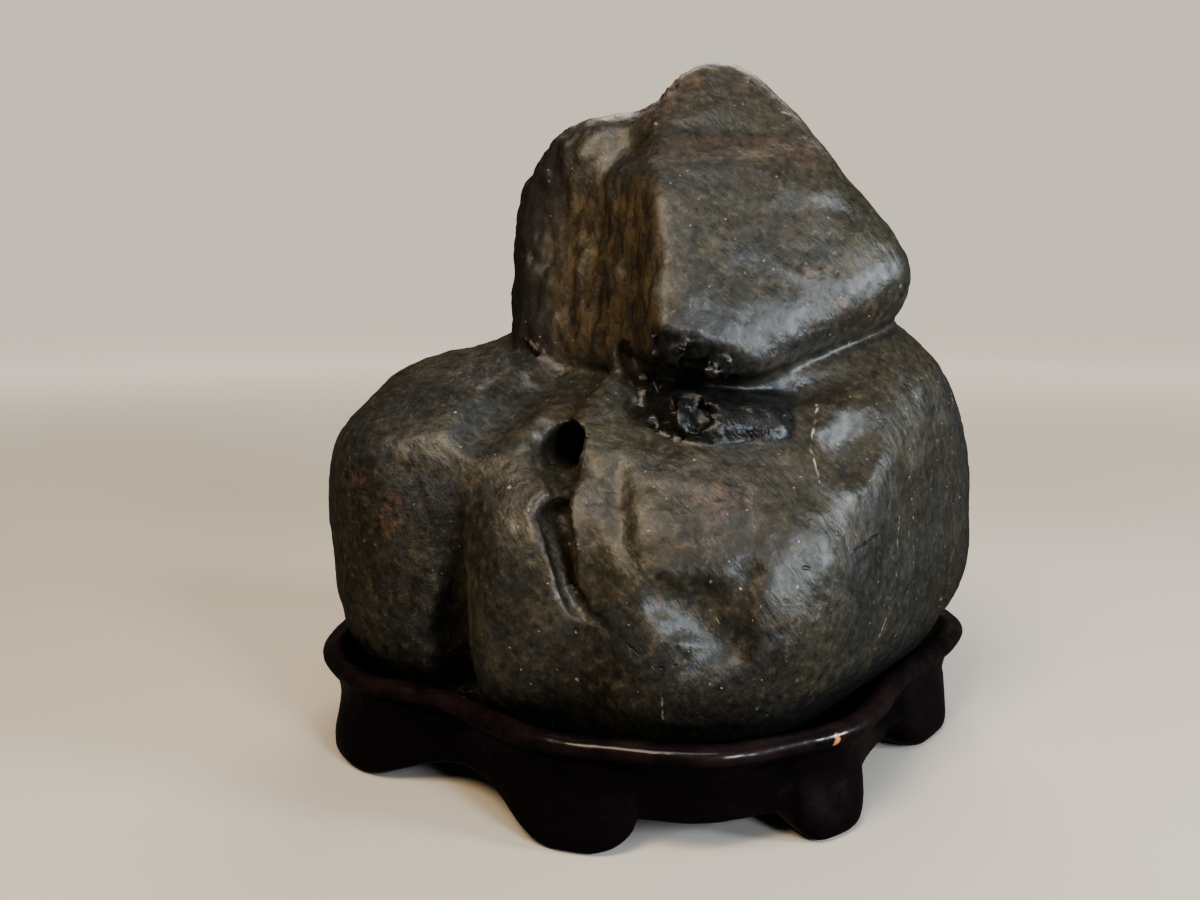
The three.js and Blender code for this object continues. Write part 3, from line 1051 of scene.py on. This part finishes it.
@dataclass(frozen=True)
class FloorFinish:
    """Plain pale studio floor, whose far part glows as painted light that fades it into the backdrop."""

    pale: Colour = (0.60, 0.54, 0.45, 1)
    paler: Colour = (0.66, 0.61, 0.54, 1)
    glow: Colour = (0.80, 0.72, 0.60, 1)
    glow_strength: float = 0.80
    glow_from: float = 350.0
    glow_to: float = 2000.0

    def material(self) -> bpy.types.Material:
        """Builds the floor's material.

        Returns:
            The material.
        """
        made, graph, shader, place = begin_material("studio_paper")
        cloud = graph.noise(place, 0.004, 3, 0.5)
        graph.tree.links.new(graph.mix(cloud, self.pale, self.paler), shader.inputs["Base Color"])
        shader.inputs["Roughness"].default_value = 0.75
        # painted light: the floor glows more the further it lies from the middle
        far = graph.step(graph.vector("LENGTH", place), self.glow_from, self.glow_to)
        shader.inputs["Emission Color"].default_value = self.glow
        graph.tree.links.new(graph.times(far, self.glow_strength), shader.inputs["Emission Strength"])
        return made


# ---------------------------------------------------------------- relief by geometry nodes


class Relief:
    """A geometry node tree that weathers a mesh along its normals."""

    def __init__(self, name: str) -> None:
        """Starts the tree.

        Args:
            name: Name of the tree.
        """
        self.tree = bpy.data.node_groups.new(name, "GeometryNodeTree")
        self.graph = Graph(self.tree)
        self.sizes: dict[str, float] = {}
        self.tree.interface.new_socket("Geometry", in_out="INPUT", socket_type="NodeSocketGeometry")
        self.tree.interface.new_socket("Geometry", in_out="OUTPUT", socket_type="NodeSocketGeometry")
        self.given = self.graph.node("NodeGroupInput")
        place = self.graph.node("GeometryNodeInputPosition").outputs[0]
        self.place = self.graph.vector("SCALE", place, scale=1 / MM)

    def size(self, name: str, value: float) -> bpy.types.NodeSocket:
        """A named input of the tree.

        Args:
            name: What the number is.
            value: Its value, in millimetres where it is a length.

        Returns:
            The input's socket inside the tree.
        """
        self.tree.interface.new_socket(name, in_out="INPUT", socket_type="NodeSocketFloat")
        self.sizes[name] = value
        return self.given.outputs[name]

    def mask(self, mask: Mask) -> bpy.types.NodeSocket:
        """A painted mask, in the tree."""
        return self.graph.node("GeometryNodeInputNamedAttribute", {"Name": mask.value},
                               data_type="FLOAT").outputs["Attribute"]

    def swell(self, texture: Any, height: Any, mask: Any = 1.0) -> bpy.types.NodeSocket:
        """A signed height from a texture.

        Args:
            texture: A value from 0 to 1.
            height: Full height in millimetres.
            mask: Where it acts.

        Returns:
            Height in millimetres.
        """
        centred = self.graph.math("SUBTRACT", texture, 0.5)
        return self.graph.times(centred, height, mask)

    def total(self, heights: Sequence[bpy.types.NodeSocket]) -> bpy.types.NodeSocket:
        """The heights added up."""
        return self.graph.plus(*heights)

    def close(self, height: bpy.types.NodeSocket, material: bpy.types.Material) -> None:
        """Moves the vertices and ends the tree.

        Args:
            height: Millimetres along the normal.
            material: What the surface is dressed in.
        """
        graph = self.graph
        free = graph.math("SUBTRACT", 1.0, self.mask(Mask.REST))
        height = graph.times(height, free, MM)
        normal = graph.node("GeometryNodeInputNormal").outputs[0]
        offset = graph.vector("SCALE", normal, scale=height)
        moved = graph.node("GeometryNodeSetPosition", {"Geometry": self.given.outputs["Geometry"],
                                                       "Offset": offset})
        whole = graph.node("GeometryNodeRealizeInstances", {0: moved.outputs[0]})
        dressed = graph.node("GeometryNodeSetMaterial", {"Geometry": whole.outputs[0], "Material": material})
        graph.node("NodeGroupOutput", {0: dressed.outputs[0]})

    def apply(self, mesh: bpy.types.Mesh, name: str) -> bpy.types.Object:
        """Runs the tree on a mesh and keeps the plain result.

        Args:
            mesh: The mesh to weather.
            name: Name of the finished piece.

        Returns:
            An object with a plain mesh and no modifier.
        """
        rough = bpy.data.objects.new(name + "_rough", mesh)
        bpy.context.scene.collection.objects.link(rough)
        modifier = rough.modifiers.new(self.tree.name, "NODES")
        modifier.node_group = self.tree
        for item in self.tree.interface.items_tree:
            if item.in_out == "INPUT" and item.name in self.sizes:
                modifier[item.identifier] = self.sizes[item.name]
        graph = bpy.context.evaluated_depsgraph_get()
        plain = bpy.data.meshes.new_from_object(rough.evaluated_get(graph))
        plain.name = name
        rough.modifiers.remove(modifier)
        bpy.data.objects.remove(rough)
        made = bpy.data.objects.new(name, plain)
        bpy.context.scene.collection.objects.link(made)
        return made


def seat_piece(made: bpy.types.Object, node: str) -> None:
    """Hands a finished piece to the frame.

    Args:
        made: The piece.
        node: The CAD node that it stands for.
    """
    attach(made, "root")
    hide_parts(node)
    LOG.info("%s: %d faces", made.name, len(made.data.polygons))


# ---------------------------------------------------------------- the stone


@dataclass
class Stone:
    """The viewing stone."""

    shift: np.ndarray
    form: StoneForm = field(default_factory=StoneForm)
    fine_step: float = 1.32
    quick_step: float = 2.4
    low: Point = (-103, -88, 4)
    high: Point = (104, 80, 206)
    rounds: int = 2

    def shell(self) -> Shell:
        """The stone's surface, before its weathering.

        Returns:
            The meshed and painted shell.
        """
        step = self.fine_step
        lattice = Lattice(self.low, self.high, step)
        shell = Shell(*surface_net(lattice.sample(self.form), self.low, step))
        shell.settle(self.form, self.rounds)
        self.paint(shell, step)
        return shell

    def paint(self, shell: Shell, step: float) -> None:
        """Paints the masks.

        Args:
            shell: The shell to paint.
            step: Spacing of its vertices.
        """
        places, normals = shell.places, shell.normals()
        form = self.form
        broken = np.max([track.mask(places, 2.5) for track in form.broken], axis=0)
        slab = 1 - fade(form.slab.distance(places), 0.4, 1.4)
        # painted shade: the gap under the head is painted black along with the breaks
        gap = form.cuts[0].mask(places, 1.5) * fade(places[:, 0], 52, 30)
        shell.masks[Mask.BROKEN_AND_GAP_SHADE] = np.clip(np.maximum(np.maximum(broken, slab), gap * 0.6), 0, 1)
        crown = fade(places[:, 2], 112, 122)
        facing = fade(normals[:, 0], -0.15, -0.55)
        scoop = (1 - fade(form.scoop.distance(places), 0.3, 3)) * fade(places[:, 0], -35, -25)
        scoop *= fade(places[:, 2], 172, 158)
        shell.masks[Mask.SCOOP] = scoop * crown
        left = fade(places[:, 0], -8, -20) * crown * facing
        shell.masks[Mask.FLUTES] = np.clip(left + 0.7 * scoop * crown, 0, 1)
        flank = fade(places[:, 2], 176, 184) * facing * fade(places[:, 0], 14, 6)
        face = fade(places[:, 0], -48, -56) * fade(places[:, 2], 90, 82) * fade(places[:, 1], -10, -30)
        shell.masks[Mask.PITS] = np.clip(flank + 0.8 * face, 0, 1)
        # painted shade: hollows, where the stone closes round a point, are darkened in the material
        shade = np.zeros(len(places), np.float32)
        for reach, weight in ((2.5, 0.5), (6, 0.35), (12, 0.25)):
            shade += weight * np.clip(1 - form.distance(places + reach * normals) / reach, 0, 1.2)
        shell.masks[Mask.CAVITY_SHADE] = fade(shade, 0.4, 0.9) * (1 - 0.75 * scoop * crown)
        # painted shade and dark wax: the stone darkens towards the stand's rim
        shell.masks[Mask.FOOT_SHADE_AND_WAX] = fade(places[:, 2], 44, 27)
        # painted shade on the right-facing flank and the rear block, over a darker brown skin
        side = fade(normals @ heading(98, -4), 0.52, 0.9) * fade(places[:, 2], 122, 108)
        behind = crown * (1 - scoop) * fade(places[:, 0], -20, -30) * fade(normals[:, 2], 0.8, 0.55)
        shell.masks[Mask.SMOKE] = np.clip(side + behind, 0, 1)
        rings = max(int(6 / step * 1.3), 2)
        bend = shell.bend(rings)
        shell.masks[Mask.EDGE] = fade(bend, 0.25, 0.8)
        shell.masks[Mask.REST] = fade(places[:, 2], 33, 29)
        # the lip at the scoop's foot and the crack's left lip carry a painted reddish highlight; the others
        # are rusty stains
        stains_and_lit_edges = ((form.lip, 1.6, 0.5), *form.stains_and_lit_edges)
        stained_and_lit = sum(strength * track.mask(places, border) for track, border, strength in stains_and_lit_edges)
        shell.masks[Mask.RUST_AND_LIT_EDGES] = np.clip(stained_and_lit, 0, 1)

    def relief(self) -> Relief:
        """The tree that weathers the stone.

        Returns:
            The finished tree.
        """
        relief = Relief("weathering")
        graph, place = relief.graph, relief.place
        broad = relief.swell(graph.noise(place, 0.035, 2, 0.5), relief.size("Broad Height", 3.2))
        lumps = relief.swell(graph.noise(place, 0.10, 3, 0.55), relief.size("Lump Height", 1.5))
        fine = relief.swell(graph.noise(place, 0.30, 3, 0.6), relief.size("Fine Height", 0.6))
        groove = graph.noise(graph.stretched(place, (0, 0, 0), (0.2, 0.2, 0.045)), 1.0, 2, 0.5, 0.5)
        flutes = relief.swell(groove, relief.size("Flute Height", 5.5), relief.mask(Mask.FLUTES))
        rough = graph.noise(place, 0.24, 4, 0.75)
        pits = relief.swell(rough, relief.size("Pit Height", 3.4), relief.mask(Mask.PITS))
        splinter = graph.cells(place, 0.22)
        lean = graph.vector("SUBTRACT", splinter.outputs["Color"], (0.5, 0.5, 0.5))
        cell = graph.vector("SUBTRACT", place, splinter.outputs["Position"])
        facet = graph.vector("DOT_PRODUCT", lean, cell)
        chips = graph.times(facet, relief.size("Chip Height", 0.22), relief.mask(Mask.BROKEN_AND_GAP_SHADE))
        relief.close(relief.total([broad, lumps, fine, flutes, pits, chips]),
                     StoneFinish(tuple(float(s) for s in self.shift)).material())
        return relief

    def build(self) -> bpy.types.Object:
        """Makes the stone.

        Returns:
            The finished piece.
        """
        mesh = self.shell().mesh(Piece.STONE.value, self.shift)
        made = self.relief().apply(mesh, Piece.STONE.value)
        seat_piece(made, "stone")
        return made


# ---------------------------------------------------------------- the stand


@dataclass(frozen=True)
class Foot:
    """One foot: where it stands round the outline, how far its flanks run, and its level half, in degrees."""

    at: float
    left: float
    right: float
    flat: float = 3
    long_flank: float = 15

    def share(self, azimuth: np.ndarray) -> np.ndarray:
        """How much of the foot there is.

        Args:
            azimuth: Degrees round the stand from the front.

        Returns:
            1 under the foot, falling to 0 past its flanks.
        """
        away = (azimuth - self.at + 180) % 360 - 180
        return np.where(away < 0, self.flank(-away, self.left), self.flank(away, self.right))

    def flank(self, away: np.ndarray, width: float) -> np.ndarray:
        """One flank: a long one runs out in an S, and a short one curls up in a quarter circle.

        Args:
            away: Degrees from the middle of the foot.
            width: Where the flank ends.

        Returns:
            1 under the level part, falling to 0 at the end.
        """
        if width > self.long_flank:
            return fade(away, width, self.flat)
        left_over = 1 - np.clip((away - width) / (self.flat - width), 0, 1)
        return np.sqrt(np.maximum(1 - left_over * left_over, 0))


@dataclass(frozen=True)
class StandForm:
    """Sizes of the stand: its outline, its wall section from underside to seat, and its feet."""

    outline: tuple[tuple[float, float], ...] = (
        (-100.5, -10), (-93, -27), (-80, -40), (-62, -49), (-48, -62), (-34, -74), (-12, -81), (10, -84),
        (30, -77), (46, -68), (56, -56), (64, -42), (78, -22), (93, -3), (100, 14), (97, 34), (84, 52),
        (64, 66), (40, 75), (12, 77), (-14, 75), (-36, 68), (-60, 62), (-82, 52), (-96, 34), (-101, 12))
    # inset from the outline, height, how far a foot drops it, how far a foot pushes it out
    section: tuple[tuple[float, float, float, float], ...] = (
        (20, 7.2, 0, 0), (16, 7.6, 6.2, 0), (14.5, 8.3, 8.3, 0), (8.5, 8.3, 8.3, 4.4), (7, 9.4, 8, 5),
        (6.7, 11.5, 7, 5), (6.4, 14, 4.4, 3.6), (5.6, 18, 1.5, 1.2), (3.4, 22.5, 0, 0), (0.9, 25.6, 0, 0),
        (0, 27.7, 0, 0), (0.8, 29.4, 0, 0), (2.8, 30.2, 0, 0), (5, 29.7, 0, 0), (6.6, 28.2, 0, 0),
        (9, 26.2, 0, 0), (13, 24.5, 0, 0))
    feet: tuple[Foot, ...] = (
        Foot(-18, 26, 11, 2.5), Foot(32, 8.8, 12.5, 2.5), Foot(82, 11, 16, 3), Foot(-72, 12, 24, 3),
        Foot(131, 12, 18, 3), Foot(-133, 18, 12, 3))
    fineness: int = 40
    around: int = 720
    between: int = 4
    seat_shares: tuple[float, ...] = (0.04, 0.08, 0.14, 0.22, 0.32, 0.45, 0.6, 0.78)
    seat_gap: float = 0.55
    seat_floor: float = 9.5
    sinkings: int = 40
    sink_most: float = 2.0
    dish: float = 6.0
    lip_above: float = 26.5
    lip_outside: float = 6.0
    under_below: float = 8.0
    under_inside: float = 12.0
    knee_from: float = 9.0
    knee_height: float = 8.5
    knee_soft: float = 1.2
    knee_below: float = 24.0
    knee_outside: float = 9.0
    knee_out: float = 1.3
    knee_spread: float = 1.55


@dataclass
class Stand:
    """The carved stand."""

    stone: StoneForm
    form: StandForm = field(default_factory=StandForm)
    chip_at: Point = (39.5, -71.5, 27.5)

    @staticmethod
    def through(knots: np.ndarray, closed: bool, between: int) -> np.ndarray:
        """A centripetal Catmull-Rom curve through knots.

        Args:
            knots: One row for each knot.
            closed: Whether the last knot runs on to the first.
            between: Samples for each span.

        Returns:
            Points of the curve.
        """
        count = len(knots)
        spans = count if closed else count - 1
        made = []
        for k in range(spans):
            pick = [(k + j) % count if closed else min(max(k + j, 0), count - 1) for j in (-1, 0, 1, 2)]
            a, b, c, d = (knots[p] for p in pick)
            gaps = [max(float(np.linalg.norm(q - p)) ** 0.5, 1e-4) for p, q in ((a, b), (b, c), (c, d))]
            if not closed and k == 0:
                gaps[0] = gaps[1]
            if not closed and k == spans - 1:
                gaps[2] = gaps[1]
            leave = ((b - a) / gaps[0] - (c - a) / (gaps[0] + gaps[1]) + (c - b) / gaps[1]) * gaps[1]
            reach = ((c - b) / gaps[1] - (d - b) / (gaps[1] + gaps[2]) + (d - c) / gaps[2]) * gaps[1]
            for t in np.arange(between) / between:
                made.append((2 * t**3 - 3 * t**2 + 1) * b + (t**3 - 2 * t**2 + t) * leave
                            + (3 * t**2 - 2 * t**3) * c + (t**3 - t**2) * reach)
        if not closed:
            made.append(knots[-1])
        return np.array(made)

    def rim(self) -> tuple[np.ndarray, np.ndarray]:
        """The outline, evenly spaced, with its inward directions.

        Returns:
            Points and unit vectors, both in the plane.
        """
        curve = self.through(np.array(self.form.outline, float), True, self.form.fineness)
        ring = np.vstack([curve, curve[:1]])
        run = np.concatenate([[0], np.cumsum(np.linalg.norm(np.diff(ring, axis=0), axis=1))])
        at = np.linspace(0, run[-1], self.form.around, endpoint=False)
        even = np.stack([np.interp(at, run, ring[:, k]) for k in range(2)], -1)
        tangent = unit(np.roll(even, -1, 0) - np.roll(even, 1, 0))
        return even, np.stack([-tangent[:, 1], tangent[:, 0]], -1)

    def corner(self) -> np.ndarray:
        """Lowest corner of the outline."""
        return self.rim()[0].min(0)

    def shell(self) -> Shell:
        """The stand's surface.

        Returns:
            The painted shell, facing out, with its two ends left open for mesh to close.
        """
        form = self.form
        rim, inward = self.rim()
        azimuth = np.degrees(np.arctan2(rim[:, 0], -rim[:, 1]))
        foot = np.max([f.share(azimuth) for f in form.feet], axis=0)
        wide = [Foot(f.at, f.left * form.knee_spread, f.right * form.knee_spread, f.flat) for f in form.feet]
        knee = np.max([f.share(azimuth) for f in wide], axis=0)
        stations = self.through(np.array(form.section, float), False, form.between)
        rings, edge, hollow = [], [], []
        for inset, height, drop, out in stations:
            z = height - drop * foot
            top = form.knee_from + form.knee_height * knee
            bulge = form.knee_out * (knee - foot) * fade(z, top + form.knee_soft, top - form.knee_soft)
            bulge *= (height < form.knee_below) * (inset < form.knee_outside)
            depth = inset - out * foot - bulge
            flat = rim + inward * depth[:, None]
            rings.append(np.column_stack([flat, z]))
            on_lip = height > form.lip_above and inset < form.lip_outside
            beneath = height < form.under_below and inset > form.under_inside
            edge.append(np.full(len(rim), float(on_lip)))
            hollow.append(np.full(len(rim), float(beneath)))
        inner = rings[-1]
        for share in form.seat_shares:
            rings.append(np.column_stack([inner[:, :2] * (1 - share), inner[:, 2] - form.dish * share]))
            edge.append(np.zeros(len(rim)))
            hollow.append(np.ones(len(rim)))
        seat_from = len(stations) - form.between * 3
        for k in range(seat_from, len(rings)):
            rings[k] = self.lowered(rings[k])
            hollow[k] = np.maximum(hollow[k], fade(np.float32(k), seat_from, seat_from + form.between))
        poles = [[[0, 0, rings[-1][:, 2].min()]], [[0, 0, form.section[0][1]]]]
        places = np.concatenate(rings + poles).astype(np.float32)
        around, count = form.around, len(rings)
        index = np.arange(around)
        after = (index + 1) % around
        quads = [np.stack([k * around + index, k * around + after, (k + 1) * around + after,
                           (k + 1) * around + index], 1) for k in range(count - 1)]
        shell = Shell(places, np.concatenate(quads))
        shell.masks[Mask.EDGE] = np.concatenate(edge + [[0, 0]])
        # painted shade on the underside and in the seat
        shell.masks[Mask.CAVITY_SHADE] = np.concatenate(hollow + [[1, 1]])
        ring_number = np.repeat(np.arange(count), around)
        rest = ((ring_number >= seat_from) | (ring_number < 3 * form.between)).astype(float)
        shell.masks[Mask.REST] = np.concatenate([rest, [1, 1]])
        return shell

    def lowered(self, ring: np.ndarray) -> np.ndarray:
        """Sinks seat points until they clear the stone.

        Args:
            ring: Points of one ring of the seat.

        Returns:
            The ring with the seat's gap under the stone.
        """
        points = ring.astype(np.float32).copy()
        for _ in range(self.form.sinkings):
            need = self.form.seat_gap - self.stone.distance(points)
            points[:, 2] -= np.clip(need, 0, self.form.sink_most)
        points[:, 2] = np.maximum(points[:, 2], self.form.seat_floor)
        return points

    def mesh(self, shift: np.ndarray) -> bpy.types.Mesh:
        """The stand's Blender mesh with its two ends closed.

        Args:
            shift: Maker's millimetres to row millimetres.

        Returns:
            The mesh in metres.
        """
        shell = self.shell()
        around = self.form.around
        last = len(shell.places) - 2
        rings = last // around
        caps = []
        for k in range(around):
            after = (k + 1) % around
            caps.append([(rings - 1) * around + k, (rings - 1) * around + after, last])
            caps.append([after, k, last + 1])
        return shell.mesh(Piece.STAND.value, shift, caps)

    def relief(self, shift: np.ndarray) -> Relief:
        """The tree that gives the wood its tool marks.

        Args:
            shift: Maker's millimetres to row millimetres.

        Returns:
            The finished tree.
        """
        relief = Relief("hand_carving")
        graph, place = relief.graph, relief.place
        wave = relief.swell(graph.noise(place, 0.045, 2, 0.5), relief.size("Wave Height", 0.9))
        marks = relief.swell(graph.noise(place, 0.16, 2, 0.5), relief.size("Tool Mark Height", 0.4))
        chip = tuple(float(c + s) for c, s in zip(self.chip_at, shift))
        relief.close(relief.total([wave, marks]), WoodFinish(chip).material())
        return relief

    def build(self, shift: np.ndarray) -> bpy.types.Object:
        """Makes the stand.

        Args:
            shift: Maker's millimetres to row millimetres.

        Returns:
            The finished piece.
        """
        made = self.relief(shift).apply(self.mesh(shift), Piece.STAND.value)
        for vertex in made.data.vertices:
            vertex.co.z = max(vertex.co.z, 0.0)
        seat_piece(made, "stand")
        return made


# ---------------------------------------------------------------- studio


@dataclass(frozen=True)
class Lamp:
    """A soft panel lamp, placed by direction from the object."""

    name: str
    azimuth: float
    elevation: float
    away: float
    width: float
    height: float
    power: float
    colour: Point

    def build(self, aim: Vector) -> bpy.types.Object:
        """Makes the lamp.

        Args:
            aim: Where it points.

        Returns:
            The lamp's object.
        """
        data = bpy.data.lights.new(self.name, "AREA")
        data.shape = "RECTANGLE"
        data.size, data.size_y = self.width, self.height
        data.energy = self.power
        data.color = self.colour
        made = bpy.data.objects.new(self.name, data)
        way = Vector(heading(self.azimuth, self.elevation).tolist())
        made.location = aim + way * self.away
        made.rotation_euler = (-way).to_track_quat("-Z", "Y").to_euler()
        bpy.context.scene.collection.objects.link(made)
        return made


@dataclass
class Studio:
    """Camera, pale floor and soft lights."""

    shift: np.ndarray
    lens: float = 30.0
    sensor: float = 36.0
    eye: Point = (-17, -299, 132)
    down: float = 8.5314
    aim_height: float = 0.1
    floor_radius: float = 6.0
    floor_sides: int = 96
    surround: Colour = (0.80, 0.72, 0.60, 1)
    surround_strength: float = 0.08
    backdrop_extra: float = 0.77
    lamps: tuple[Lamp, ...] = (
        Lamp("window_panel", 35, 20, 1.1, 0.24, 0.30, 7.4, (0.80, 0.90, 1.0)),
        Lamp("side_panel", 69, 14, 1.1, 0.20, 0.26, 9.5, (0.80, 0.90, 1.0)),
        Lamp("lip_strip", 0, 64, 1.0, 0.6, 0.2, 2.6, (0.80, 0.89, 1.0)),
        Lamp("warm_lamp", -32, 50, 1.4, 0.5, 0.5, 14.3, (1.0, 0.80, 0.56)),
        Lamp("back_panel", 168, 46, 1.6, 0.9, 0.6, 9.0, (1.0, 0.94, 0.86)),
    )

    def camera(self) -> bpy.types.Object:
        """Makes the camera and looks through it.

        Returns:
            The camera's object.
        """
        data = bpy.data.cameras.new("view_camera")
        data.lens, data.sensor_width = self.lens, self.sensor
        data.clip_start = 0.01
        made = bpy.data.objects.new("view_camera", data)
        made.location = Vector(((np.array(self.eye) + self.shift) * MM).tolist())
        made.rotation_euler = (math.radians(90 - self.down), 0, 0)
        bpy.context.scene.collection.objects.link(made)
        bpy.context.scene.camera = made
        return made

    def floor(self) -> bpy.types.Object:
        """Makes the floor.

        Returns:
            The floor's object.
        """
        sides = self.floor_sides
        turn = np.linspace(0, 2 * math.pi, sides, endpoint=False)
        rim = np.stack([np.cos(turn), np.sin(turn), 0 * turn], -1) * self.floor_radius
        mesh = bpy.data.meshes.new(Piece.FLOOR.value)
        mesh.from_pydata([(0, 0, 0)] + rim.tolist(), [],
                         [(0, 1 + k, 1 + (k + 1) % sides) for k in range(sides)])
        mesh.materials.append(FloorFinish().material())
        made = bpy.data.objects.new(Piece.FLOOR.value, mesh)
        bpy.context.scene.collection.objects.link(made)
        made.visible_glossy = False
        return made

    def world(self) -> None:
        """Makes the pale surround."""
        made = bpy.data.worlds.new("pale_surround")
        made.use_nodes = True
        made.node_tree.nodes.clear()
        graph = Graph(made.node_tree)
        seen = graph.node("ShaderNodeLightPath").outputs["Is Camera Ray"]
        strength = graph.math("MULTIPLY_ADD", seen, self.backdrop_extra, self.surround_strength)
        light = graph.node("ShaderNodeBackground", {"Color": self.surround, "Strength": strength})
        graph.node("ShaderNodeOutputWorld", {"Surface": light.outputs[0]})
        bpy.context.scene.world = made
        bpy.context.scene.view_settings.look = "AgX - Medium High Contrast"

    def build(self) -> None:
        """Makes the whole studio."""
        self.camera()
        self.floor()
        self.world()
        aim = Vector((0, 0, self.aim_height))
        for lamp in self.lamps:
            lamp.build(aim)
        LOG.info("studio: %d lamps", len(self.lamps))


def main() -> None:
    """Builds the stone, the stand and the studio."""
    logging.basicConfig(level=logging.INFO, format="%(name)s %(message)s")
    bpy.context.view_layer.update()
    stand = Stand(StoneForm())
    low = np.array(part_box("stand")[0]) / MM
    corner = stand.corner()
    shift = np.array([low[0] - corner[0], low[1] - corner[1], 0.0])
    LOG.info("shift %s", shift.round(3).tolist())
    Studio(shift).build()
    Stone(shift).build()
    stand.build(shift)


if __name__ == "__main__":
    main()
